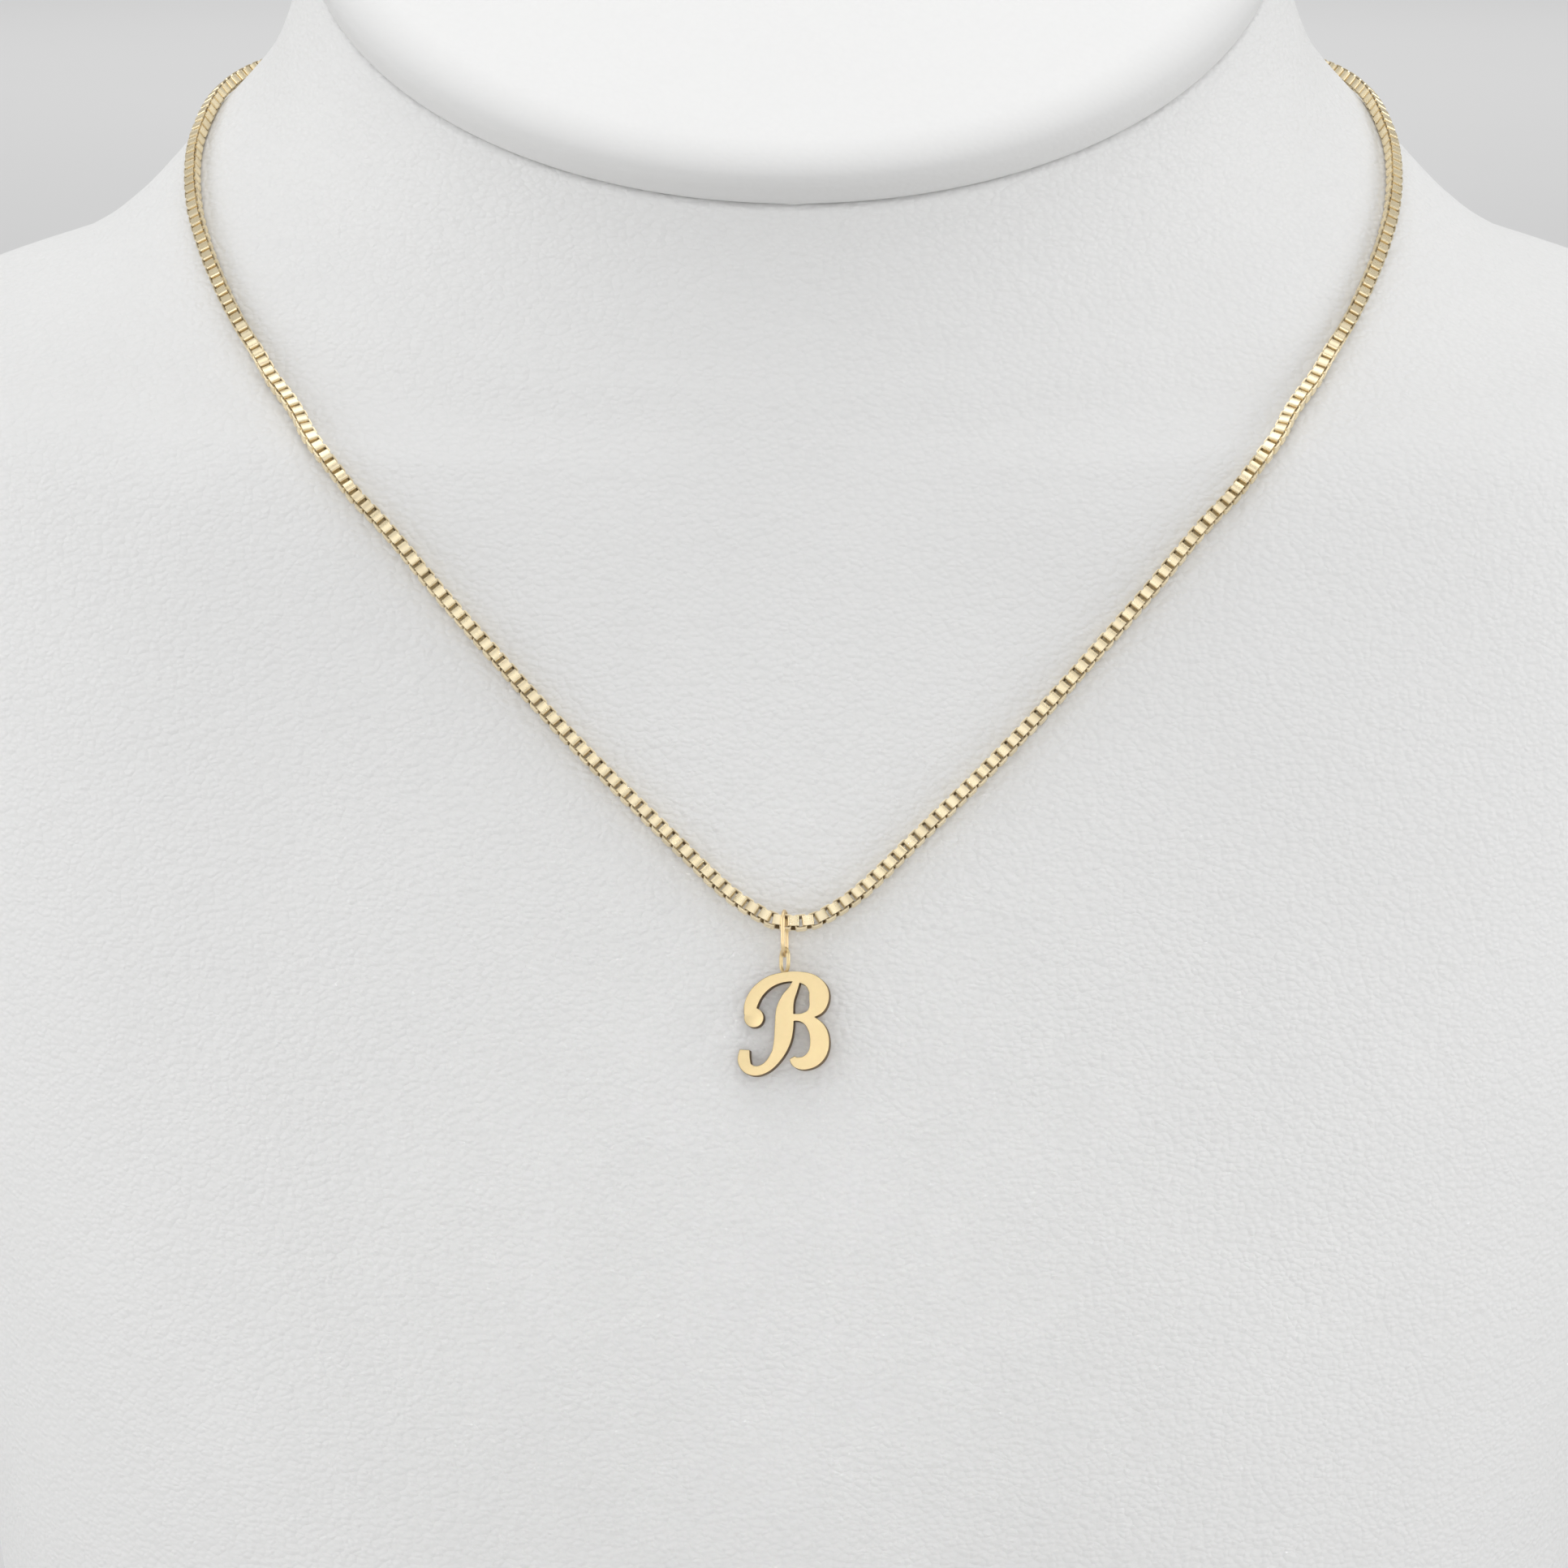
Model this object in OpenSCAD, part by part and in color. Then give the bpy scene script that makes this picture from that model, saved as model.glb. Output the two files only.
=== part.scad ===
// Initial pendant on a box chain, lying on a neck bust.
// Millimetres, +Z up, front towards -Y. The origin is the middle of the bust's footprint.

/* [Bust] */
// Width of the neck at its slanted rim
neck_w = 112; // [100:1:124]
// Reach of the neck in front of and behind its own middle
neck_reach = 41; // [36:0.5:46]
// Height of the middle of the neck's rim above the base
neck_h = 212.5; // [190:0.5:235]
// Slant of the neck's rim, in degrees
rim_tilt = 36; // [30:1:40]
// Width across the shoulders
shoulder_w = 224; // [205:1:245]
// Reach of the chest in front of the neck's middle
chest_reach = 88; // [78:1:98]
// Reach of the back behind the neck's middle
back_reach = 45; // [42:1:52]
// Rounding of the edge that the bust stands on
base_radius = 2.5; // [1:0.5:4]
// Rounding of the neck's edge below the seam
rim_radius = 0.6; // [0.3:0.1:1]

/* [Cap] */
// Height of the padded cap in its middle
cap_h = 10; // [8:0.5:13]
// Bulge of the cap's band past the neck
bulge_depth = 0.6; // [0.3:0.1:1]
// Open seam between the neck and the cap
seam_gap = 0.15; // [0.1:0.05:0.3]

/* [Chain] */
// Width and depth of the box chain
chain_w = 1.6; // [1.3:0.1:2]
// Clearance between the chain and the bust
chain_gap = 0.15; // [0.15:0.05:0.3]

/* [Bail] */
// Wire of the bail and of the soldered eyes
wire_d = 0.4; // [0.36:0.02:0.42]
// Height of the bail over its outside
bail_h = 5.2; // [4.8:0.1:6]
// Play of the chain inside the bail, on each side
bail_play = 0.25; // [0.15:0.05:0.35]
// Clearance between the bail and the bust
bail_gap = 0.15; // [0.1:0.05:0.3]
// Turn of the bail out of the upright plane, in degrees
bail_turn = 10; // [10:1:14]
// Sideways place of the pendant on the chain
pendant_x = -1; // [-1.5:0.1:1.5]

/* [Letter] */
// Height of the letter
letter_h = 11.1; // [9:0.1:13]
// Thickness of the letter
letter_t = 1.5; // [1:0.1:1.6]
// Height of the letter's long eye, and diameter of the round eyes at the chain's ends
eye_d = 3; // [2.9:0.05:3.3]
// Depth of the letter's long eye over its outside
eye_depth = 2.3; // [2.2:0.05:2.6]
// Turn of the letter's eye out of the letter's own upright plane, in degrees
eye_turn = 32; // [30:1:36]
// Turn of the letter about its upright line, left side back, in degrees
letter_yaw = 8; // [4:1:8]
// Clearance behind the letter's foot
letter_gap = 0.75; // [0.65:0.05:0.9]

/* [Clasp] */
// Outer diameter of the clasp's ring
clasp_d = 5.5; // [5:0.1:6.5]
// Wire of the clasp's ring
clasp_wire = 1; // [0.8:0.05:1.1]
// Outer diameter of the small eyelet on the clasp
eyelet_d = 2.3; // [2.2:0.1:2.6]
// Clearance between metal pieces that hang in each other
link_gap = 0.1; // [0.05:0.05:0.15]

/* [Hidden] */
gold = [0.95, 0.78, 0.42];

// The bust's stations, from the base to the rim. Columns: share of neck_h; blend from the
// neck's to the shoulders' width; blend from the neck's to the chest's reach; the same at
// the back; share of the rim's slant; roundness in front; roundness at the back.
bust_rows = [
    [0.000, 0.64, 1.00, 0.30, 0.00, 2.4, 3.0],
    [0.130, 0.70, 0.97, 0.60, 0.00, 2.4, 3.0],
    [0.290, 0.81, 0.885, 0.90, 0.00, 2.4, 3.0],
    [0.450, 0.93, 0.715, 1.00, 0.00, 2.3, 3.0],
    [0.590, 1.00, 0.50, 1.00, 0.06, 2.3, 3.0],
    [0.715, 1.00, 0.30, 0.88, 0.17, 2.3, 2.8],
    [0.774, 0.895, 0.22, 0.68, 0.30, 2.2, 2.6],
    [0.802, 0.585, 0.19, 0.50, 0.39, 2.1, 2.4],
    [0.828, 0.42, 0.165, 0.32, 0.49, 2.0, 2.2],
    [0.869, 0.26, 0.13, 0.18, 0.65, 2.0, 2.0],
    [0.908, 0.11, 0.09, 0.07, 0.81, 2.0, 2.0],
    [0.955, 0.035, 0.035, 0.00, 0.94, 2.0, 2.0],
    [1.000, 0.00, 0.00, 0.00, 1.00, 2.0, 2.0],
];
// The cap's rings, from the seam to its crown. Columns: share of the way in to the
// middle; share of bulge_depth; share of cap_h.
cap_rows = [
    [0.014, 0.0, 0.00], [0.004, 0.3, 0.03], [0.000, 0.7, 0.09], [0.000, 1.0, 0.20],
    [0.000, 0.9, 0.33], [0.010, 0.6, 0.44], [0.035, 0.2, 0.53], [0.080, 0.0, 0.60],
    [0.170, 0.0, 0.68], [0.320, 0.0, 0.79], [0.520, 0.0, 0.90], [0.740, 0.0, 0.97],
    [0.940, 0.0, 1.00],
];
// The chain's route over one half of the bust, from the pendant to the nape. Columns:
// station of the bust, angle round it in degrees, share of the lift at the bail.
chain_route = [
    [3.42, -90.0, 1.00], [3.422, -89.5, 1.00], [3.44, -88.5, 0.90], [3.54, -86.3, 0.40],
    [3.73, -83.5, 0.05], [4.02, -79.5, 0.00], [4.42, -74.4, 0.00], [4.87, -69.5, 0.00],
    [5.40, -65.5, 0.10], [6.08, -61.4, 0.25], [6.85, -53.9, 0.20], [7.61, -46.0, 0.05],
    [8.04, -41.0, 0.00], [8.38, -35.0, 0.00], [8.66, -28.5, 0.00], [8.87, -21.5, 0.00],
    [9.01, -14.5, 0.00], [9.11, -7.5, 0.00], [9.17, -0.5, 0.00], [9.21, 5.5, 0.00],
    [9.18, 12.0, 0.00], [9.07, 20.0, 0.10], [8.93, 30.0, 0.25], [8.79, 42.0, 0.30],
    [8.68, 55.0, 0.35], [8.61, 70.0, 0.35],
];
// Station of the nape where the clasp lies, and of the chest behind the letter
clasp_station = 8.59;
letter_station = 3.15;
// The letter's three strokes. Columns: hundredths of letter_h to the right of its middle,
// the same above its middle, and half the stroke's width.
crown_stroke = [
    [-32.4, 9.0, 5.8], [-31.0, 20.5, 6.6], [-24.6, 32.2, 6.4], [-13.0, 41.6, 5.7],
    [1.0, 45.8, 5.0], [15.0, 45.9, 5.3], [26.8, 42.0, 7.1], [34.0, 33.8, 9.3],
    [35.4, 25.0, 9.8], [33.0, 16.2, 8.2], [26.8, 9.8, 4.6], [18.0, 7.0, 3.4],
    [8.0, 6.6, 3.6],
];
stem_stroke = [
    [14.5, 44.0, 3.2], [9.6, 33.5, 4.8], [4.5, 24.0, 6.9], [1.8, 13.0, 8.7],
    [1.2, -2.0, 9.3], [-0.6, -16.0, 8.4], [-5.6, -29.3, 6.3], [-15.0, -40.6, 5.0],
    [-26.0, -45.0, 4.8], [-34.8, -41.8, 5.4], [-38.2, -34.0, 6.2], [-37.4, -24.0, 5.0],
];
bowl_stroke = [
    [8.0, 6.0, 3.0], [17.0, 6.0, 3.6], [26.0, 2.6, 6.0], [33.4, -6.0, 8.6],
    [35.8, -16.0, 9.4], [34.6, -26.0, 9.2], [29.6, -33.6, 8.2], [21.6, -37.8, 6.8],
    [15.0, -37.6, 5.8], [11.0, -35.2, 4.4], [9.4, -31.8, 2.6],
];
// Ball that ends the crown stroke: place and radius, and the top edge under the eye
crown_ball = [-28.4, 6.9, 9.6];
eye_seat = [1.0, 50.8];

bust_sides = 56;
bust_steps_per_row = 3;
tube_sides = 8;
rings_per_neck_width = 19;
stroke_steps_per_span = 4;
ring_faces = 48;
wire_faces = 24;
// How deep an eye sinks into what it is soldered to, and how far the letter's eye reaches
// up into the bail, both in wire diameters; how far down the letter its foot touches
solder_share = 0.4;
lap_share = 1.9;
foot_share = 0.47;

// Places that follow from the sizes above
ring_pitch = neck_w / rings_per_neck_width;
mid_y = (chest_reach - back_reach) / 2;
wire_r = wire_d / 2;
bail_inner = chain_w / 2 + bail_play;
bail_r = bail_inner + wire_r;
bail_out = bail_gap + wire_d + bail_inner;
bail_top = chain_w / 2 + bail_play + link_gap + wire_r;
bail_bottom = bail_top + wire_d - bail_h;
eye_r = (eye_d - wire_d) / 2;
eye_lap = lap_share * wire_d;
long_eye_r = (eye_depth - wire_d) / 2;
eye_straight = 2 * (eye_r - long_eye_r);
solder_sink = solder_share * wire_d;
letter_part = letter_h / 100;
eye_up = eye_seat[1] * letter_part + eye_r + wire_r - solder_sink;
eye_y = bail_bottom + eye_lap - eye_r;
foot_arm = eye_up + foot_share * letter_h;
letter_lean = asin((bail_out - letter_t / 2 - letter_gap) / foot_arm);
chain_out = chain_w / 2 + chain_gap;
bail_lift = bail_out - chain_out;
clasp_out = chain_gap + eye_r + wire_r;
clasp_r = (clasp_d - clasp_wire) / 2;
eyelet_r = (eyelet_d - wire_d) / 2;
// Middles of the chain's two end eyes and of the clasp's eyelet, left to right on the nape
hook_x = -clasp_r - eye_r + (wire_d + clasp_wire) / 2 + link_gap;
eyelet_x = clasp_r + clasp_wire / 2 + eyelet_r - solder_sink;
tail_x = eyelet_x + eyelet_r - wire_d - link_gap + eye_r;

function spline(p, q, r, s, t) =
    0.5 * (2 * q + (r - p) * t + (2 * p - 5 * q + 4 * r - s) * t * t
        + (3 * q - p - 3 * r + s) * t * t * t);
function knot(rows, i) =
    i < 0 ? 2 * rows[0] - rows[1]
    : i < len(rows) ? rows[i]
    : 2 * rows[len(rows) - 1] - rows[len(rows) - 2];
function along(rows, u) =
    let (i = min(max(floor(u), 0), len(rows) - 2))
    spline(knot(rows, i - 1), knot(rows, i), knot(rows, i + 1), knot(rows, i + 2), u - i);
function unit(v) = v / norm(v);

// Point of the bust's skin at station u and angle a, and the direction out of it
function skin(u, a) =
    let (
        row = along(bust_rows, u),
        back = sin(a) > 0,
        half = (neck_w + row[1] * (shoulder_w - neck_w)) / 2,
        reach = back
            ? neck_reach + row[3] * (back_reach - neck_reach)
            : neck_reach + row[2] * (chest_reach - neck_reach),
        bend = back ? row[6] : row[5],
        far = 1 / pow(pow(abs(cos(a)), bend) + pow(abs(sin(a)), bend), 1 / bend),
        y = reach * far * sin(a)
    )
    [half * far * cos(a), y + mid_y, row[0] * neck_h + row[4] * tan(rim_tilt) * y];
function outward(u, a) =
    unit(cross(skin(u, a + 0.1) - skin(u, a - 0.1), skin(u + 0.01, a) - skin(u - 0.01, a)));
function skin_ring(u, inset) =
    let (slope = along(bust_rows, u)[4] * tan(rim_tilt))
    [for (i = [0 : bust_sides - 1])
        let (a = 360 * i / bust_sides - 90)
        skin(u, a) - inset * [cos(a), sin(a), slope * sin(a)]];

// Point of the slanted rim's plane: a share of the rim's size, pushed out, and raised
function rim_point(share, push, up, a) =
    let (size = share + 2 * push / neck_w, run = neck_reach * size * sin(a))
    [neck_w / 2 * size * cos(a), run + mid_y - up * sin(rim_tilt),
        neck_h + run * tan(rim_tilt) + up * cos(rim_tilt)];

// The chain's route as [station, angle, lift], from the left end round the front
clasp_half = along(bust_rows, clasp_station)[1] * (shoulder_w - neck_w) / 2 + neck_w / 2;
nape_lift = (clasp_out - chain_out) / bail_lift;
function nape_row(x) = [clasp_station, acos(x / clasp_half), nape_lift];
function mirrored(row) = [row[0], -180 - row[1], row[2]];
hook_row = nape_row(-hook_x + eye_r);
tail_row = nape_row(tail_x + eye_r);
route = concat(
    [mirrored(hook_row)],
    [for (i = [len(chain_route) - 1 : -1 : 1]) mirrored(chain_route[i])],
    chain_route,
    [tail_row]
);
function route_point(t) =
    let (row = along(route, t))
    skin(row[0], row[1]) + (chain_out + row[2] * bail_lift) * outward(row[0], row[1]);
// Where the tube's rings stand: one every ring_pitch or so, and one at each point of the route
ring_stops = [
    for (k = [0 : len(route) - 2])
        let (rings = max(1, round(norm(route_point(k + 1) - route_point(k)) / ring_pitch)))
        for (j = [0 : rings - 1])
            k + j / rings,
    len(route) - 1,
];
function route_ring(t) =
    let (
        row = along(route, t),
        ahead = unit(route_point(t + 0.02) - route_point(t - 0.02)),
        side = unit(cross(outward(row[0], row[1]), ahead)),
        up = cross(ahead, side),
        r = chain_w / 2 / cos(180 / tube_sides)
    )
    [for (i = [0 : tube_sides - 1])
        let (b = 360 * (i + 0.5) / tube_sides)
        route_point(t) + r * (cos(b) * side + sin(b) * up)];

// Solid through rings of points that run anticlockwise seen from the last ring
module loft(rings) {
    n = len(rings[0]);
    last = (len(rings) - 1) * n;
    polyhedron(
        points = [for (ring = rings) each ring],
        faces = concat(
            [[for (i = [0 : n - 1]) i]],
            [for (k = [0 : len(rings) - 2], i = [0 : n - 1])
                [k * n + i, (k + 1) * n + i, (k + 1) * n + (i + 1) % n, k * n + (i + 1) % n]],
            [[for (i = [n - 1 : -1 : 0]) last + i]]
        )
    );
}

// Wire ring round its own Z axis
module wire_ring(radius, wire) {
    rotate_extrude($fn = ring_faces)
        translate([radius, 0])
            circle(d = wire, $fn = wire_faces);
}

// Frame on the skin with X to the right, Y up the slope and Z straight out
module on_skin(place, out) {
    translate(place)
        rotate([90 - asin(out[2]), 0, out[1] < 0 ? 0 : 180])
            children();
}

module bust_form() {
    last = len(bust_rows) - 1;
    base_u = base_radius / (bust_rows[1][0] * neck_h);
    rim_u = rim_radius / ((1 - bust_rows[last - 1][0]) * neck_h);
    steps = last * bust_steps_per_row;
    color("whitesmoke")
        loft(concat(
            [skin_ring(0, base_radius), skin_ring(0.3 * base_u, 0.3 * base_radius)],
            [for (k = [0 : steps - 1]) skin_ring(base_u + (last - rim_u - base_u) * k / steps, 0)],
            [skin_ring(last - rim_u, 0), skin_ring(last - 0.3 * rim_u, 0.3 * rim_radius),
                skin_ring(last, rim_radius)]
        ));
}

module neck_cap() {
    color("white")
        loft([
            for (row = cap_rows) [
                for (i = [0 : bust_sides - 1])
                    rim_point(1 - row[0], row[1] * bulge_depth, seam_gap + row[2] * cap_h,
                        360 * i / bust_sides - 90)
            ]
        ]);
}

// The bar that stands for the run of links, with an eye soldered to each end
module chain() {
    color(gold) {
        loft([for (t = ring_stops) route_ring(t)]);
        nape() {
            for (x = [hook_x, tail_x])
                translate([-x, 0, clasp_out])
                    rotate([90, 0, 0])
                        wire_ring(eye_r, wire_d);
        }
    }
}

// Frame of the nape behind the clasp; its X axis runs to the wearer's right
module nape() {
    on_skin(skin(clasp_station, 90), outward(clasp_station, 90))
        children();
}

// Frame of the pendant: its middle is the chain's lowest point, on the skin
module pendant_frame() {
    on_skin(skin(chain_route[0][0], -90), outward(letter_station, -90))
        translate([pendant_x, 0, bail_out])
            children();
}

// Long wire ring, whose two straight sides run down from its own X axis
module long_ring(radius, straight) {
    for (bend = [[0, 0], [-straight, 180]])
        translate([0, bend[0], 0])
            rotate([0, 0, bend[1]])
                rotate_extrude(angle = 180, $fn = ring_faces)
                    translate([radius, 0])
                        circle(d = wire_d, $fn = wire_faces);
    for (side = [-1, 1])
        translate([side * radius, 0, 0])
            rotate([90, 0, 0])
                cylinder(d = wire_d, h = straight, $fn = wire_faces);
}

module bail_ring() {
    color(gold)
        pendant_frame()
            translate([0, bail_top - bail_r, 0])
                rotate([0, 90 - bail_turn, 0])
                    long_ring(bail_r, bail_h - wire_d - 2 * bail_r);
}

// Outline of one brush stroke: its left edge, then its right edge back again
module stroke(rows) {
    steps = (len(rows) - 1) * stroke_steps_per_span;
    edge = [
        for (k = [0 : steps])
            let (
                t = k / stroke_steps_per_span,
                row = along(rows, t),
                run = unit(along(rows, t + 0.02) - along(rows, t - 0.02)),
                across = unit([-run[1], run[0]])
            )
            [[row[0], row[1]] + row[2] * across, [row[0], row[1]] - row[2] * across]
    ];
    polygon(concat([for (e = edge) e[0]], [for (k = [steps : -1 : 0]) edge[k][1]]));
}

module initial_letter() {
    color(gold)
        pendant_frame()
            translate([0, eye_y, 0])
                rotate([letter_lean, -letter_yaw, 0]) {
                    translate([0, eye_straight / 2, 0])
                        rotate([0, 90 + eye_turn, 0])
                            long_ring(long_eye_r, eye_straight);
                    translate([-eye_seat[0] * letter_part, -eye_up, -letter_t / 2])
                        linear_extrude(letter_t) {
                            stroke(letter_part * crown_stroke);
                            stroke(letter_part * stem_stroke);
                            stroke(letter_part * bowl_stroke);
                            translate([crown_ball[0], crown_ball[1]] * letter_part)
                                circle(r = crown_ball[2] * letter_part, $fn = ring_faces);
                        }
                }
}

module clasp() {
    color(gold)
        nape()
            translate([0, 0, clasp_out]) {
                wire_ring(clasp_r, clasp_wire);
                translate([-eyelet_x, 0, 0])
                    wire_ring(eyelet_r, wire_d);
            }
}

bust_form();
neck_cap();
chain();
bail_ring();
initial_letter();
clasp();
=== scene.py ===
"""Looks of an initial pendant on a box chain, lying on a covered neck bust.

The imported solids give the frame. Lengths are in metres, except in the letter's own frame,
which is in millimetres. The tables repeat those that the solids were lofted from, so each
dressed piece lies where its solid does.
"""

import logging
import math
import random
from dataclasses import dataclass, field
from enum import Enum
from typing import Any, Callable, Sequence

import bmesh
import bpy
import numpy as np
from mathutils import Matrix, Vector


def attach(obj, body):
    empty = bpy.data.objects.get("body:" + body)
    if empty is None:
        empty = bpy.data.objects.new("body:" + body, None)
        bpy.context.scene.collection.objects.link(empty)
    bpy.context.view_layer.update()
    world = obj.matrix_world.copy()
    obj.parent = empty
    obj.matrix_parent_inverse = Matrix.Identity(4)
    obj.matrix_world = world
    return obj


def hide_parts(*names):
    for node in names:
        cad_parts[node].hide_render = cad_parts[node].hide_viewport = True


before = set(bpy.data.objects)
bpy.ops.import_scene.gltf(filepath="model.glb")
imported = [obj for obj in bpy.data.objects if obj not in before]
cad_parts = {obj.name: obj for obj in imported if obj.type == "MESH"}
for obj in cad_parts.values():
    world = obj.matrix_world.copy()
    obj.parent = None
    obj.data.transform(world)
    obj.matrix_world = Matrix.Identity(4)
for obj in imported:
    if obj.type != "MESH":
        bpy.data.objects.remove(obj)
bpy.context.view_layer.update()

LOG = logging.getLogger("initial_pendant")
BODY = "root"
MM = 0.001

# Attribute that holds how much painted shade a point of a mesh gets, from 0 to 1: on the chain
# links' inner faces, on the letter's cut walls and on the cap's side band.
SHADE = "shade"

# Steps of a quarter turn, in degrees, and the steps of a round wire and of its bends.
QUARTER = (0, 15, 30, 45, 60, 75, 90)
WIRE_SIDES = 16
BEND_STEPS = 24

# How close points are merged, in metres or as a share of a wire's or a strip's thickness.
SEW_GAP = 1e-7
SEW_SHARE = 0.01

# How much of a normal lies along the axis that a flat side faces, at least.
FLAT = 0.9

# Small steps over which the slopes of the skin and of a stroke are measured.
STATION_STEP = 0.01
ANGLE_STEP = 0.1
STROKE_STEP = 0.02

Point = tuple[float, float, float]
Rows = tuple[tuple[float, ...], ...]


class Slot(Enum):
    """The record's material slots."""

    LEATHERETTE = "leatherette"
    CAP = "cap_leatherette"
    CHAIN = "chain_gold"
    RING = "ring_gold"
    LETTER = "letter_gold"


def spline(p: np.ndarray, q: np.ndarray, r: np.ndarray, s: np.ndarray, t: float) -> np.ndarray:
    """Smooth curve from q to r.

    Args:
        p, q, r, s: Four rows that follow each other.
        t: Share of the way from q to r.

    Returns:
        The row at that share.
    """
    return 0.5 * (
        2 * q + (r - p) * t + (2 * p - 5 * q + 4 * r - s) * t * t
        + (3 * q - p - 3 * r + s) * t ** 3
    )


def along(rows: np.ndarray, stop: float) -> np.ndarray:
    """Row of a table at a stop between its rows.

    Args:
        rows: The table.
        stop: Number of the row, with its fraction.

    Returns:
        The row there, on a smooth curve through the table's rows.
    """
    i = min(max(math.floor(stop), 0), len(rows) - 2)
    before = rows[i - 1] if i > 0 else 2 * rows[0] - rows[1]
    after = rows[i + 2] if i + 2 < len(rows) else 2 * rows[-1] - rows[-2]
    return spline(before, rows[i], rows[i + 1], after, stop - i)


def select_none() -> None:
    """Deselects every object, because an operator acts on all that is selected."""
    bpy.ops.object.select_all(action="DESELECT")


def use(piece: bpy.types.Object) -> None:
    """Selects one object and makes it the active one.

    Args:
        piece: The object.
    """
    select_none()
    piece.select_set(True)
    bpy.context.view_layer.objects.active = piece


def named(name: str) -> bpy.types.Object:
    """Names the object that was made last and its mesh, and applies its place.

    Args:
        name: The piece's name.

    Returns:
        The object, at the origin.
    """
    piece = bpy.context.active_object
    piece.name = name
    piece.data.name = name
    place(piece, Matrix.Identity(4))
    return piece


def place(piece: bpy.types.Object, matrix: Matrix) -> None:
    """Puts a mesh in its place, with its object left at the origin.

    Args:
        piece: The object.
        matrix: Where its mesh goes, on top of where the object stands.
    """
    bpy.context.view_layer.update()
    piece.data.transform(matrix @ piece.matrix_world)
    piece.matrix_world = Matrix.Identity(4)
    piece.data.update()


def pick(piece: bpy.types.Object, mode: str, test: Callable[[Any], bool]) -> None:
    """Selects some elements of the mesh in edit mode, and no others.

    Args:
        piece: The object, in edit mode.
        mode: VERT, EDGE or FACE.
        test: Says whether an element is selected.
    """
    bpy.ops.mesh.select_mode(type=mode)
    bpy.ops.mesh.select_all(action="DESELECT")
    mesh = bmesh.from_edit_mesh(piece.data)
    elements = {"VERT": mesh.verts, "EDGE": mesh.edges, "FACE": mesh.faces}[mode]
    for element in elements:
        if test(element):
            element.select_set(True)
    mesh.select_flush_mode()
    bmesh.update_edit_mesh(piece.data)


def sew(piece: bpy.types.Object, gap: float) -> None:
    """Merges the points that meet, closes the holes and turns the faces outwards.

    Args:
        piece: The object, in object mode.
        gap: How close points are merged.
    """
    use(piece)
    bpy.ops.object.mode_set(mode="EDIT")
    bpy.ops.mesh.select_all(action="SELECT")
    bpy.ops.mesh.remove_doubles(threshold=gap)
    bpy.ops.mesh.select_all(action="SELECT")
    bpy.ops.mesh.fill_holes(sides=0)
    bpy.ops.mesh.select_all(action="SELECT")
    bpy.ops.mesh.normals_make_consistent(inside=False)
    bpy.ops.object.mode_set(mode="OBJECT")


def wrap(
    name: str, rings: Sequence[Sequence[Point]], gap: float = SEW_GAP,
) -> bpy.types.Object:
    """Wraps a grid round rings of points and sews it into a closed shell.

    Args:
        name: The piece's name.
        rings: Rings of equally many points.
        gap: How close points are merged where the grid's sides meet.

    Returns:
        The shell.
    """
    sides, steps = len(rings[0]), len(rings) - 1
    select_none()
    bpy.ops.mesh.primitive_grid_add(x_subdivisions=sides, y_subdivisions=steps, size=1)
    piece = named(name)
    for vertex in piece.data.vertices:
        i = round((vertex.co.x + 0.5) * sides) % sides
        k = round((vertex.co.y + 0.5) * steps)
        vertex.co = rings[k][i]
    sew(piece, gap)
    return piece


def bent_wire(name: str, radius: float, wire: float, straight: float = 0.0) -> bpy.types.Object:
    """Bends a wire into a ring round Z, or into a long ring with two straight sides.

    Args:
        name: The piece's name.
        radius: Radius of the bends, to the wire's middle.
        wire: Diameter of the wire.
        straight: Length of the straight sides, which run down from the middle.

    Returns:
        The closed ring.
    """
    select_none()
    bpy.ops.mesh.primitive_circle_add(
        vertices=WIRE_SIDES, radius=wire / 2, location=(radius, 0, 0), rotation=(math.pi / 2, 0, 0))
    piece = named(name)
    bpy.ops.object.mode_set(mode="EDIT")
    bpy.ops.mesh.select_all(action="SELECT")
    for centre, run in (((0, 0, 0), -straight), ((0, -straight, 0), straight)):
        bpy.ops.mesh.spin(steps=BEND_STEPS, angle=-math.pi, center=centre, axis=(0, 0, 1))
        if straight:
            bpy.ops.mesh.extrude_region_move(TRANSFORM_OT_translate={"value": (0, run, 0)})
    bpy.ops.object.mode_set(mode="OBJECT")
    sew(piece, wire * SEW_SHARE)
    return piece


def unite(piece: bpy.types.Object, others: Sequence[bpy.types.Object]) -> None:
    """Unites other solids with a piece, and removes them.

    Args:
        piece: The piece that stays.
        others: The solids that it takes in.
    """
    for other in others:
        use(piece)
        bpy.ops.object.modifier_add(type="BOOLEAN")
        modifier = piece.modifiers[-1]
        modifier.operation = "UNION"
        modifier.solver = "EXACT"
        modifier.object = other
        bpy.ops.object.modifier_apply(modifier=modifier.name)
        bpy.data.objects.remove(other, do_unlink=True)


def join(name: str, pieces: Sequence[bpy.types.Object]) -> bpy.types.Object:
    """Joins pieces into one object.

    Args:
        name: The joined piece's name.
        pieces: The objects.

    Returns:
        The joined object.
    """
    select_none()
    for piece in pieces:
        piece.select_set(True)
    bpy.context.view_layer.objects.active = pieces[0]
    bpy.ops.object.join()
    return named(name)


def smooth(piece: bpy.types.Object, degrees: float = 35.0) -> None:
    """Shades a piece smooth, with the edges sharper than an angle left crisp."""
    use(piece)
    bpy.ops.object.shade_smooth_by_angle(angle=math.radians(degrees))


def paint(mesh: bpy.types.Mesh, shares: Sequence[float]) -> None:
    """Stores on each point how much painted shade it gets, from 0 to 1."""
    mesh.attributes.new(SHADE, "FLOAT", "POINT").data.foreach_set("value", shares)


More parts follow.
